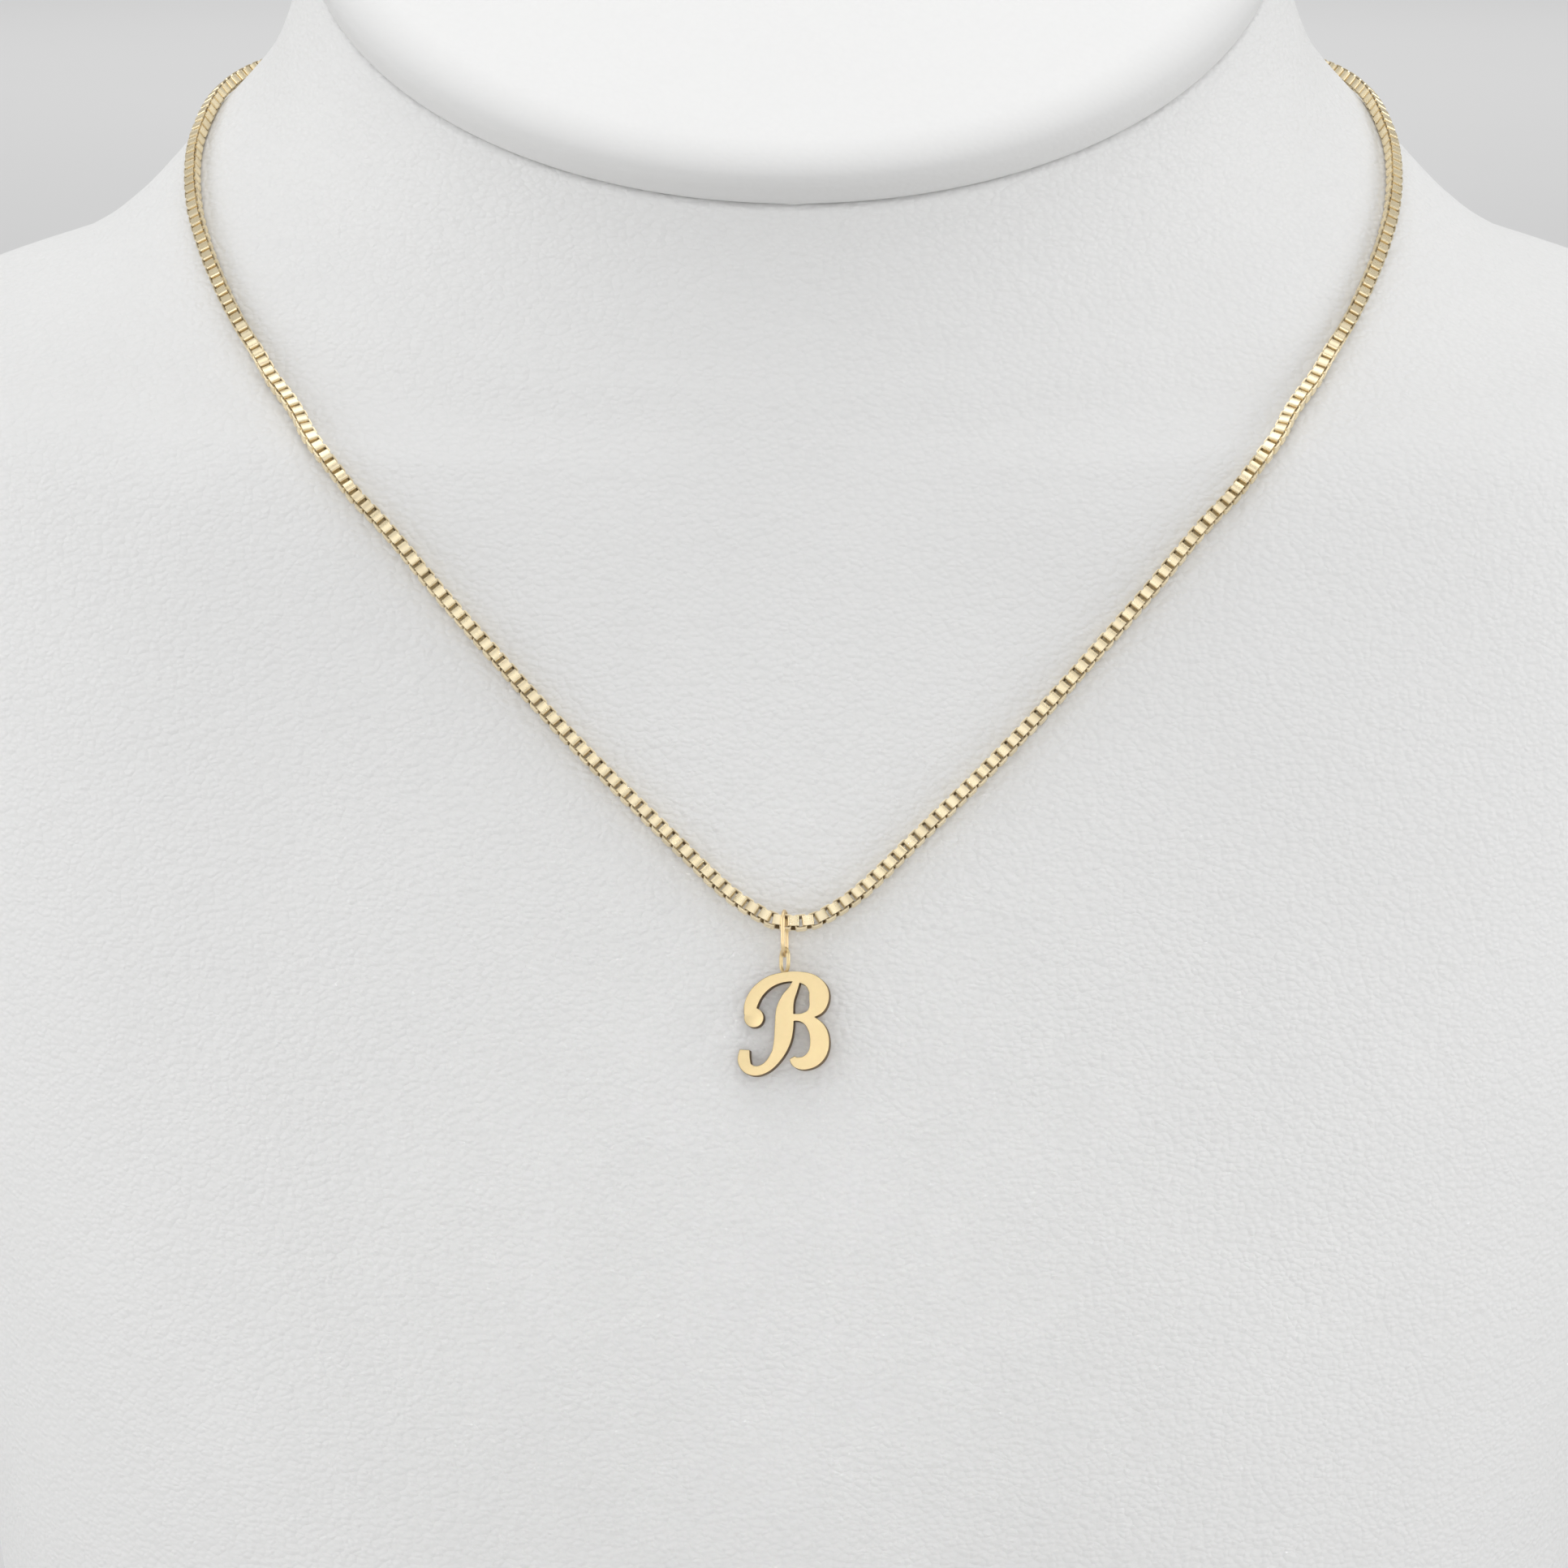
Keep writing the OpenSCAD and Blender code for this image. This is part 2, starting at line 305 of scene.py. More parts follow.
def dress(piece: bpy.types.Object, material: bpy.types.Material, slot: Slot, *nodes: str) -> None:
    """Gives a finished piece its material, its body and the nodes that it stands for.

    Args:
        piece: The finished piece.
        material: Its material.
        slot: The record's slot of that finish; not used.
        nodes: The solids that the piece stands for.
    """
    piece.data.materials.clear()
    piece.data.materials.append(material)
    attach(piece, BODY)
    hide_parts(*nodes)
    LOG.info("%s: %d faces, for %s", piece.name, len(piece.data.polygons), ", ".join(nodes))


class Value:
    """A number that varies over a surface, with the operators that its maths needs."""

    def __init__(self, graph: "Graph", socket: bpy.types.NodeSocket) -> None:
        """Wraps an output socket of the graph."""
        self.graph = graph
        self.socket = socket

    def math(self, operation: str, *terms: Any) -> "Value":
        """Adds a Math node.

        Args:
            operation: The node's operation.
            terms: Its inputs, as values or numbers.

        Returns:
            The node's result.
        """
        node = self.graph.add("ShaderNodeMath", {"operation": operation}, dict(enumerate(terms)))
        return Value(self.graph, node.outputs[0])

    def __add__(self, other: Any) -> "Value":
        """Sum."""
        return self.math("ADD", self, other)

    __radd__ = __add__

    def __mul__(self, other: Any) -> "Value":
        """Product."""
        return self.math("MULTIPLY", self, other)

    __rmul__ = __mul__

    def __sub__(self, other: Any) -> "Value":
        """Difference."""
        return self.math("SUBTRACT", self, other)

    def __rsub__(self, other: Any) -> "Value":
        """Difference from a number."""
        return self.math("SUBTRACT", other, self)


class Graph:
    """The nodes of one material."""

    def __init__(self, name: str) -> None:
        """Starts a material with one Principled BSDF.

        Args:
            name: The material's name.
        """
        self.material = bpy.data.materials.new(name)
        self.material.use_nodes = True
        self.nodes = self.material.node_tree.nodes
        self.links = self.material.node_tree.links
        self.nodes.clear()
        output = self.add("ShaderNodeOutputMaterial")
        self.surface = self.add("ShaderNodeBsdfPrincipled")
        self.links.new(self.surface.outputs["BSDF"], output.inputs["Surface"])

    def add(
        self, kind: str, settings: dict[str, Any] | None = None,
        sockets: dict[Any, Any] | None = None,
    ) -> bpy.types.Node:
        """Adds a node.

        Args:
            kind: The node's type.
            settings: Its settings, which are set first.
            sockets: Values or links of its inputs, by name or number.

        Returns:
            The node.
        """
        node = self.nodes.new(kind)
        for name, value in (settings or {}).items():
            setattr(node, name, value)
        self.feed(node, sockets or {})
        return node

    def feed(self, node: bpy.types.Node, sockets: dict[Any, Any]) -> None:
        """Sets or links a node's inputs.

        Args:
            node: The node.
            sockets: Values or links, by name or number.
        """
        for name, value in sockets.items():
            if isinstance(value, Value):
                self.links.new(value.socket, node.inputs[name])
            elif isinstance(value, bpy.types.NodeSocket):
                self.links.new(value, node.inputs[name])
            else:
                node.inputs[name].default_value = value

    def coordinates(self, stretch: Point = (1.0, 1.0, 1.0)) -> bpy.types.NodeSocket:
        """Object coordinates, stretched along the axes.

        Args:
            stretch: How much a pattern is squeezed along each axis.

        Returns:
            The coordinates' socket.
        """
        spot = self.add("ShaderNodeTexCoord").outputs["Object"]
        node = self.add("ShaderNodeMapping", None, {"Vector": spot, "Scale": stretch})
        return node.outputs["Vector"]

    def noise(
        self, size: float, detail: float = 2.0, stretch: Point = (1.0, 1.0, 1.0),
    ) -> Value:
        """Noise from 0 to 1.

        Args:
            size: Size of its features, in metres.
            detail: Number of finer octaves.
            stretch: How much it is squeezed along each axis.

        Returns:
            The noise.
        """
        node = self.add("ShaderNodeTexNoise", None, {
            "Vector": self.coordinates(stretch), "Scale": 1 / size, "Detail": detail})
        return Value(self, node.outputs["Fac"])

    def pebbles(self, size: float, stretch: Point, wander: float) -> Value:
        """Height of rounded pebbles: 1 in a pebble's middle and about 0 at its edge.

        Args:
            size: Width of a pebble, in metres.
            stretch: How much they are squeezed along each axis.
            wander: How quickly their rows wander, against the width of a pebble.

        Returns:
            The height.
        """
        drift = self.add("ShaderNodeTexNoise", None, {
            "Vector": self.coordinates(), "Scale": wander / size, "Detail": 1.0})
        spot = self.add("ShaderNodeVectorMath", {"operation": "MULTIPLY_ADD"}, {
            0: drift.outputs["Color"], 1: (size, size, size), 2: self.coordinates(stretch)})
        node = self.add("ShaderNodeTexVoronoi", {"feature": "F1"}, {
            "Vector": spot.outputs[0], "Scale": 1 / size})
        return 1 - Value(self, node.outputs["Distance"])

    def painted(self, name: str) -> Value:
        """A value that is stored on the mesh.

        Args:
            name: The attribute's name.

        Returns:
            The value.
        """
        node = self.add("ShaderNodeAttribute", {"attribute_name": name})
        return Value(self, node.outputs["Fac"])

    def blend(self, share: Value, first: Any, second: Any) -> bpy.types.NodeSocket:
        """Mixes two colours.

        Args:
            share: 0 for the first colour and 1 for the second.
            first: The first colour, or its socket.
            second: The second colour, or its socket.

        Returns:
            The mixed colour's socket.
        """
        node = self.add("ShaderNodeMix", {"data_type": "RGBA"})
        colours = [socket for socket in node.inputs if socket.type == "RGBA"]
        for socket, colour in zip(colours, (first, second)):
            if isinstance(colour, bpy.types.NodeSocket):
                self.links.new(colour, socket)
            else:
                socket.default_value = (*colour, 1)
        self.feed(node, {"Factor": share})
        return next(socket for socket in node.outputs if socket.type == "RGBA")

    def bump(self, height: Value, depth: float) -> bpy.types.NodeSocket:
        """Bumps the surface.

        Args:
            height: The height, from 0 to 1.
            depth: The height of 1, in metres.

        Returns:
            The bumped normal's socket.
        """
        node = self.add("ShaderNodeBump", None, {
            "Height": height, "Distance": depth, "Strength": 1.0})
        return node.outputs["Normal"]


@dataclass(frozen=True)
class Leatherette:
    """Matt white leatherette with a pebbled grain, whose sizes are in metres."""

    name: str
    pebble: float
    depth: float
    dark: Point
    light: Point
    roughness: float
    # Colour of the painted shade, mixed in where the mesh stores it.
    shade: Point = (0.70, 0.70, 0.695)
    gloss: float = 0.35
    pebble_stretch: Point = (1.0, 1.0, 1.5)
    wander: float = 0.6
    streak_pebbles: float = 4.0
    streak_stretch: Point = (0.5, 0.5, 1.6)
    cloud: float = 0.03
    pebble_share: float = 0.6
    pebble_polish: float = 0.1
    cloud_dulling: float = 0.05

    def material(self) -> bpy.types.Material:
        """Makes the material.

        Returns:
            Leatherette whose grain, tone and gloss vary a little over the surface, and which is
            greyer where painted shade is stored on the mesh, as on the cap's side band.
        """
        graph = Graph(self.name)
        grain = graph.pebbles(self.pebble, self.pebble_stretch, self.wander)
        streaks = graph.noise(self.streak_pebbles * self.pebble, 3.0, self.streak_stretch)
        cloud = graph.noise(self.cloud)
        height = self.pebble_share * grain + (1 - self.pebble_share) * streaks
        # The colour without painted shade; the painted shade is mixed in below.
        unshaded = graph.blend(0.5 * cloud + 0.5 * height, self.dark, self.light)
        graph.feed(graph.surface, {
            "Base Color": graph.blend(graph.painted(SHADE), unshaded, self.shade),
            "Roughness": self.roughness - self.pebble_polish * grain + self.cloud_dulling * cloud,
            "Specular IOR Level": self.gloss,
            "Normal": graph.bump(height, self.depth),
        })
        return graph.material


@dataclass(frozen=True)
class Gold:
    """Yellow gold, polished or satin, whose sizes are in metres."""

    name: str
    dark: Point
    light: Point
    roughness: float
    speck: float
    depth: float
    # Colour of the painted shade, and how much rougher the gold is there.
    shade: Point = (0.30, 0.19, 0.07)
    shade_roughness: float = 0.15
    metal: float = 1.0
    cloud_specks: float = 6.0
    cloud_spread: float = 0.12
    fine_spread: float = 0.08

    def material(self) -> bpy.types.Material:
        """Makes the material.

        Returns:
            Gold with faint clouds in its colour and gloss and a fine surface, dull and brown where
            painted shade is stored on the mesh: on the chain links' inner faces and on the letter's
            cut walls.
        """
        graph = Graph(self.name)
        cloud = graph.noise(self.cloud_specks * self.speck)
        fine = graph.noise(self.speck, 4.0)
        # Share of painted shade that the mesh stores at each point.
        painted_shade = graph.painted(SHADE)
        unshaded = graph.blend(cloud, self.dark, self.light)
        graph.feed(graph.surface, {
            "Base Color": graph.blend(painted_shade, unshaded, self.shade),
            "Metallic": self.metal,
            "Roughness": (
                self.roughness + self.cloud_spread * (cloud - 0.5)
                + self.fine_spread * (fine - 0.5) + self.shade_roughness * painted_shade),
            "Normal": graph.bump(fine, self.depth),
        })
        return graph.material


@dataclass(frozen=True)
class PaleFloor:
    """Plain pale floor."""

    name: str = "pale_floor"
    grey: float = 0.70
    contrast: float = 0.01
    cloud: float = 0.4

    def material(self) -> bpy.types.Material:
        """Makes the material.

        Returns:
            A matt grey with the faintest clouds.
        """
        graph = Graph(self.name)
        cloud = graph.noise(self.cloud)
        low, high = self.grey - self.contrast, self.grey + self.contrast
        graph.feed(graph.surface, {
            "Base Color": graph.blend(cloud, (low, low, low), (high, high, high)),
            "Roughness": 0.9,
        })
        return graph.material


@dataclass
class Skin:
    """Surface of the bust, as stations up it and angles round it."""

    neck_w: float = 0.112
    neck_reach: float = 0.041
    neck_h: float = 0.2125
    rim_tilt: float = math.radians(36)
    shoulder_w: float = 0.224
    chest_reach: float = 0.088
    back_reach: float = 0.045
    rows: Rows = (
        (0.000, 0.64, 1.00, 0.30, 0.00, 2.4, 3.0),
        (0.130, 0.70, 0.97, 0.60, 0.00, 2.4, 3.0),
        (0.290, 0.81, 0.885, 0.90, 0.00, 2.4, 3.0),
        (0.450, 0.93, 0.715, 1.00, 0.00, 2.3, 3.0),
        (0.590, 1.00, 0.50, 1.00, 0.06, 2.3, 3.0),
        (0.715, 1.00, 0.30, 0.88, 0.17, 2.3, 2.8),
        (0.774, 0.895, 0.22, 0.68, 0.30, 2.2, 2.6),
        (0.802, 0.585, 0.19, 0.50, 0.39, 2.1, 2.4),
        (0.828, 0.42, 0.165, 0.32, 0.49, 2.0, 2.2),
        (0.869, 0.26, 0.13, 0.18, 0.65, 2.0, 2.0),
        (0.908, 0.11, 0.09, 0.07, 0.81, 2.0, 2.0),
        (0.955, 0.035, 0.035, 0.00, 0.94, 2.0, 2.0),
        (1.000, 0.00, 0.00, 0.00, 1.00, 2.0, 2.0),
    )
    table: np.ndarray = field(init=False)
    mid_y: float = field(init=False)

    def __post_init__(self) -> None:
        """Works out what follows from the sizes."""
        self.table = np.array(self.rows)
        self.mid_y = (self.chest_reach - self.back_reach) / 2

    @property
    def last(self) -> int:
        """Number of the top station."""
        return len(self.rows) - 1

    def point(self, station: float, angle: float) -> Vector:
        """Point of the skin.

        Args:
            station: Station up the bust.
            angle: Angle round it, in degrees, with the front at -90.

        Returns:
            The point.
        """
        up, wide, front, rear, slant, front_bend, rear_bend = along(self.table, station)
        c, s = math.cos(math.radians(angle)), math.sin(math.radians(angle))
        half = (self.neck_w + wide * (self.shoulder_w - self.neck_w)) / 2
        chest, back = (self.chest_reach, front, front_bend), (self.back_reach, rear, rear_bend)
        far_reach, share, bend = back if s > 0 else chest
        reach = self.neck_reach + share * (far_reach - self.neck_reach)
        far = (abs(c) ** bend + abs(s) ** bend) ** (-1 / bend)
        y = reach * far * s
        z = up * self.neck_h + slant * math.tan(self.rim_tilt) * y
        return Vector((half * far * c, y + self.mid_y, z))

    def outward(self, station: float, angle: float) -> Vector:
        """Direction straight out of the skin.

        Args:
            station: Station up the bust.
            angle: Angle round it, in degrees.

        Returns:
            The direction there, of length 1.
        """
        left, right = angle - ANGLE_STEP, angle + ANGLE_STEP
        low, high = station - STATION_STEP, station + STATION_STEP
        round_it = self.point(station, right) - self.point(station, left)
        up_it = self.point(high, angle) - self.point(low, angle)
        return round_it.cross(up_it).normalized()

    def half_width(self, station: float) -> float:
        """Half of the bust's width at a station."""
        share = along(self.table, station)[1]
        return (self.neck_w + share * (self.shoulder_w - self.neck_w)) / 2

    def frame_at(self, spot: Vector, out: Vector) -> Matrix:
        """Frame on the skin.

        Args:
            spot: Its origin.
            out: Direction straight out of the skin there.

        Returns:
            The frame, with X to the viewer's right, Y up the slope and Z out of the skin.
        """
        turn = Matrix.Rotation(0 if out.y < 0 else math.pi, 4, "Z")
        lean = Matrix.Rotation(math.pi / 2 - math.asin(out.z), 4, "X")
        return Matrix.Translation(spot) @ turn @ lean


@dataclass
class Bust:
    """The covered neck bust and its padded cap."""

    skin: Skin
    base_radius: float = 0.0025
    rim_radius: float = 0.0006
    cap_h: float = 0.010
    bulge_depth: float = 0.0006
    seam_gap: float = 0.00015
    sides: int = 256
    steps_per_row: int = 12
    # Shares of the cap's height below which its side band gets full painted shade, and above which
    # it gets none.
    shaded_band_bottom: float = 0.42
    shaded_band_top: float = 0.62
    nick: float = 0.00022
    nick_half: float = 0.0016
    nick_fade: float = 5.0
    cap_steps_per_row: int = 4
    crease: float = 50.0
    cap_rows: Rows = (
        (0.014, 0.0, 0.00), (0.004, 0.3, 0.03), (0.000, 0.7, 0.09), (0.000, 1.0, 0.20),
        (0.000, 0.9, 0.33), (0.010, 0.6, 0.44), (0.035, 0.2, 0.53), (0.080, 0.0, 0.60),
        (0.170, 0.0, 0.68), (0.320, 0.0, 0.79), (0.520, 0.0, 0.90), (0.740, 0.0, 0.97),
        (0.940, 0.0, 1.00),
    )

    def ring(self, station: float, inset: float) -> list[Vector]:
        """One ring of the cover.

        Args:
            station: Its station.
            inset: How far it is drawn in from the skin, along the rim's slant.

        Returns:
            The ring's points.
        """
        slope = along(self.skin.table, station)[4] * math.tan(self.skin.rim_tilt)
        points = []
        for i in range(self.sides):
            angle = 360 * i / self.sides - 90
            c, s = math.cos(math.radians(angle)), math.sin(math.radians(angle))
            points.append(self.skin.point(station, angle) - inset * Vector((c, s, slope * s)))
        return points

    def rounding(self, reach: float, inset: float) -> list[tuple[float, float]]:
        """Steps of a rounded edge.

        Args:
            reach: Stations that the rounding takes.
            inset: Its radius.

        Returns:
            Shares of the reach as stations from the edge, with how far each is drawn in.
        """
        turns = [math.radians(turn) for turn in QUARTER[:-1]]
        return [(reach * (1 - math.cos(a)), inset * (1 - math.sin(a))) for a in turns]

    def cover(self) -> bpy.types.Object:
        """Makes the leatherette over the bust.

        Returns:
            The cover, a closed shell.
        """
        table, last = self.skin.table, self.skin.last
        base = self.base_radius / (table[1][0] * self.skin.neck_h)
        rim = self.rim_radius / ((1 - table[last - 1][0]) * self.skin.neck_h)
        steps = last * self.steps_per_row
        stops = self.rounding(base, self.base_radius)
        stops += [(base + (last - rim - base) * k / steps, 0.0) for k in range(steps + 1)]
        stops += [(last - u, inset) for u, inset in reversed(self.rounding(rim, self.rim_radius))]
        piece = wrap("bust_cover", [self.ring(station, inset) for station, inset in stops])
        smooth(piece, self.crease)
        return piece

    def cap_ring(self, row: np.ndarray) -> list[Vector]:
        """One ring of the cap.

        Args:
            row: Share of the way in, share of the bulge and share of the height.

        Returns:
            The ring's points, with the small nick of the edge in front.
        """
        inward, bulge, height = row
        skin = self.skin
        size = 1 - inward + 2 * bulge * self.bulge_depth / skin.neck_w
        tilt = skin.rim_tilt
        points = []
        for i in range(self.sides * 2):
            angle = math.radians(180 * i / self.sides - 90)
            x = skin.neck_w / 2 * size * math.cos(angle)
            run = skin.neck_reach * size * math.sin(angle)
            near = max(0.0, 1 - abs(x) / self.nick_half) if run < 0 else 0.0
            near *= max(0.0, 1 - self.nick_fade * height)
            up = self.seam_gap + height * self.cap_h - self.nick * near
            points.append(Vector((
                x, run + skin.mid_y - up * math.sin(tilt),
                skin.neck_h + run * math.tan(tilt) + up * math.cos(tilt))))
        return points

    def cap(self) -> bpy.types.Object:
        """Makes the padded cap.

        Returns:
            The cap, a closed shell, with painted shade on its side band.
        """
        table = np.array(self.cap_rows)
        steps = self.cap_steps_per_row * (len(table) - 1)
        stops = [k / self.cap_steps_per_row for k in range(steps + 1)]
        piece = wrap("cap_cover", [self.cap_ring(along(table, stop)) for stop in stops])
        foot = Vector((0, self.skin.mid_y, self.skin.neck_h))
        up = Vector((0, -math.sin(self.skin.rim_tilt), math.cos(self.skin.rim_tilt)))
        # Painted shade on the cap's side band, full low down and fading out above.
        top, bottom = self.shaded_band_top, self.shaded_band_bottom
        heights = [(v.co - foot).dot(up) / self.cap_h for v in piece.data.vertices]
        paint(piece.data, [min(1.0, max(0.0, (top - h) / (top - bottom))) for h in heights])
        smooth(piece, self.crease)
        return piece

    def build(self, leatherette: bpy.types.Material, plain: bpy.types.Material) -> None:
        """Builds and dresses both pieces.

        Args:
            leatherette: The bust's material.
            plain: The cap's material.
        """
        dress(self.cover(), leatherette, Slot.LEATHERETTE, "bust_form")
        dress(self.cap(), plain, Slot.CAP, "neck_cap")


@dataclass
class Wires:
    """Sizes of the wire pieces and of what they hold."""

    chain_w: float = 0.0016
    chain_gap: float = 0.00015
    wire: float = 0.0004
    bail_h: float = 0.0052
    bail_play: float = 0.00025
    bail_gap: float = 0.00015
    bail_turn: float = math.radians(10)
    pendant_x: float = -0.001
    eye_d: float = 0.003
    eye_depth: float = 0.0023
    eye_turn: float = math.radians(32)
    clasp_d: float = 0.0055
    clasp_wire: float = 0.001
    eyelet_d: float = 0.0023
    link_gap: float = 0.0001
    solder_share: float = 0.4
    lap_share: float = 1.9

    @property
    def bail_inner(self) -> float:
        """Inner radius of the bail's bends."""
        return self.chain_w / 2 + self.bail_play

    @property
    def bail_r(self) -> float:
        """Radius of the bail's bends, to the wire's middle."""
        return self.bail_inner + self.wire / 2

    @property
    def bail_out(self) -> float:
        """How far the bail's middle stands off the skin."""
        return self.bail_gap + self.wire + self.bail_inner

    @property
    def bail_top(self) -> float:
        """Middle of the wire at the bail's top, above the chain's middle."""
        return self.bail_inner + self.link_gap + self.wire / 2

    @property
    def bail_bottom(self) -> float:
        """Middle of the wire at the bail's bottom."""
        return self.bail_top + self.wire - self.bail_h

    @property
    def eye_r(self) -> float:
        """Radius of an eye, to the wire's middle."""
        return (self.eye_d - self.wire) / 2

    @property
    def eye_y(self) -> float:
        """Middle of the letter's eye, below the chain's middle."""
        return self.bail_bottom + self.lap_share * self.wire - self.eye_r

    @property
    def solder_sink(self) -> float:
        """How deep an eye sinks into what it is soldered to."""
        return self.solder_share * self.wire

    @property
    def chain_out(self) -> float:
        """How far the chain's middle stands off the skin."""
        return self.chain_w / 2 + self.chain_gap

    @property
    def clasp_out(self) -> float:
        """How far the clasp's middle stands off the skin."""
        return self.chain_gap + self.eye_r + self.wire / 2

    @property
    def clasp_r(self) -> float:
        """Radius of the clasp's ring, to the wire's middle."""
        return (self.clasp_d - self.clasp_wire) / 2

    @property
    def eyelet_r(self) -> float:
        """Radius of the clasp's eyelet, to the wire's middle."""
        return (self.eyelet_d - self.wire) / 2

    @property
    def hook_x(self) -> float:
        """Middle of the eye that the clasp hooks into."""
        return -self.clasp_r - self.eye_r + (self.wire + self.clasp_wire) / 2 + self.link_gap

    @property
    def eyelet_x(self) -> float:
        """Middle of the clasp's eyelet."""
        return self.clasp_r + self.clasp_wire / 2 + self.eyelet_r - self.solder_sink

    @property
    def tail_x(self) -> float:
        """Middle of the eye that hangs in the eyelet."""
        return self.eyelet_x + self.eyelet_r - self.wire - self.link_gap + self.eye_r


@dataclass
class BoxChain:
    """The box chain, link by link, and the eyes soldered to its ends."""

    skin: Skin
    wires: Wires
    strip_w: float = 0.0011
    strip_t: float = 0.00022
    link_l: float = 0.00125
    pitch: float = 0.0008
    corner: float = 0.0002
    wobble: float = math.radians(2.5)
    roll: float = math.radians(8)
    clasp_station: float = 8.59
    samples_per_row: int = 40
    seed: int = 7
    # Painted shade on the links' inner faces, and the spread of each link's random tone.
    hollow_shade: float = 0.9
    tone_spread: float = 0.12
    crease: float = 50.0
    rows: Rows = (
        (3.42, -90.0, 1.00), (3.422, -89.5, 1.00), (3.44, -88.5, 0.90), (3.54, -86.3, 0.40),
        (3.73, -83.5, 0.05), (4.02, -79.5, 0.00), (4.42, -74.4, 0.00), (4.87, -69.5, 0.00),
        (5.40, -65.5, 0.10), (6.08, -61.4, 0.25), (6.85, -53.9, 0.20), (7.61, -46.0, 0.05),
        (8.04, -41.0, 0.00), (8.38, -35.0, 0.00), (8.66, -28.5, 0.00), (8.87, -21.5, 0.00),
        (9.01, -14.5, 0.00), (9.11, -7.5, 0.00), (9.17, -0.5, 0.00), (9.21, 5.5, 0.00),
        (9.18, 12.0, 0.00), (9.07, 20.0, 0.10), (8.93, 30.0, 0.25), (8.79, 42.0, 0.30),
        (8.68, 55.0, 0.35), (8.61, 70.0, 0.35),
    )

    def nape(self) -> Matrix:
        """Frame of the nape, where the clasp lies."""
        return self.skin.frame_at(
            self.skin.point(self.clasp_station, 90), self.skin.outward(self.clasp_station, 90))

    def pendant_frame(self, letter_station: float) -> Matrix:
        """Frame of the pendant.

        Args:
            letter_station: Station of the chest behind the letter, whose slope it follows.

        Returns:
            The frame in the bail's middle plane, level with the chain's lowest point.
        """
        foot = self.skin.point(self.rows[0][0], -90)
        out = self.skin.outward(letter_station, -90)
        shift = Matrix.Translation((self.wires.pendant_x, 0, self.wires.bail_out))
        return self.skin.frame_at(foot, out) @ shift

    def route(self) -> np.ndarray:
        """The chain's route.

        Returns:
            Rows of station, angle and lift, from the left end round the front to the right.
        """
        wires = self.wires
        lift = (wires.clasp_out - wires.chain_out) / (wires.bail_out - wires.chain_out)
        half = self.skin.half_width(self.clasp_station)
        hook, tail = [
            np.array((self.clasp_station, math.degrees(math.acos(x / half)), lift))
            for x in (wires.eye_r - wires.hook_x, wires.eye_r + wires.tail_x)]
        rows = [np.array(row) for row in self.rows]
        across = [np.array((row[0], -180 - row[1], row[2])) for row in [hook] + rows[:0:-1]]
        return np.array(across + rows + [tail])

    def walk(self) -> list[tuple[Vector, Vector, Vector]]:
        """Walks along the chain, one pitch at a time.

        Returns:
            For each link, its middle, the direction along the chain and the one out of the skin.
        """
        route = self.route()
        rise = self.wires.bail_out - self.wires.chain_out
        stops = np.linspace(0, len(route) - 1, (len(route) - 1) * self.samples_per_row + 1)
        middles, outs = [], []
        for stop in stops:
            station, angle, lift = along(route, float(stop))
            out = self.skin.outward(station, angle)
            off = self.wires.chain_out + lift * rise
            outs.append(out)
            middles.append(self.skin.point(station, angle) + out * off)
        middles_at, outs_at = np.array(middles), np.array(outs)
        lengths = np.append(0, np.cumsum(np.linalg.norm(np.diff(middles_at, axis=0), axis=1)))
        count = int((lengths[-1] - self.link_l) / self.pitch) + 1
        slack = (lengths[-1] - (count - 1) * self.pitch) / 2

        def spot(where: float, table: np.ndarray) -> Vector:
            """Row of a table at a length along the chain."""
            return Vector([float(np.interp(where, lengths, table[:, axis])) for axis in range(3)])

        links = []
        for k in range(count):
            at = slack + k * self.pitch
            ahead = spot(at + self.pitch / 2, middles_at) - spot(at - self.pitch / 2, middles_at)
            out = spot(at, outs_at)
            links.append((spot(at, middles_at), ahead.normalized(), out.normalized()))
        LOG.info("chain: %.1f mm of links, %d of them", lengths[-1] / MM, count)
        return links

    def link(self) -> bpy.types.Object:
        """Bends one strip into a square loop with round corners.

        Returns:
            The loop, in the XY plane, with the chain's direction along Y.
        """
        select_none()
        bpy.ops.mesh.primitive_cube_add(
            size=1, scale=(self.wires.chain_w, self.link_l, self.strip_w))
        piece = named("box_link")
        bpy.ops.object.mode_set(mode="EDIT")
        pick(piece, "EDGE", lambda e: abs((e.verts[0].co - e.verts[1].co).z) > self.strip_w / 2)
        bpy.ops.mesh.bevel(offset=self.corner, segments=2, affect="EDGES")
        pick(piece, "FACE", lambda f: abs(f.normal.z) > FLAT)
        bpy.ops.mesh.inset(thickness=self.strip_t, use_even_offset=True)
        pick(piece, "FACE", lambda f: abs(f.normal.z) > FLAT
             and f.calc_center_median().xy.length < self.corner / 2)
        bpy.ops.mesh.bridge_edge_loops()
        bpy.ops.object.mode_set(mode="OBJECT")
        sew(piece, self.strip_t * SEW_SHARE)
        return piece

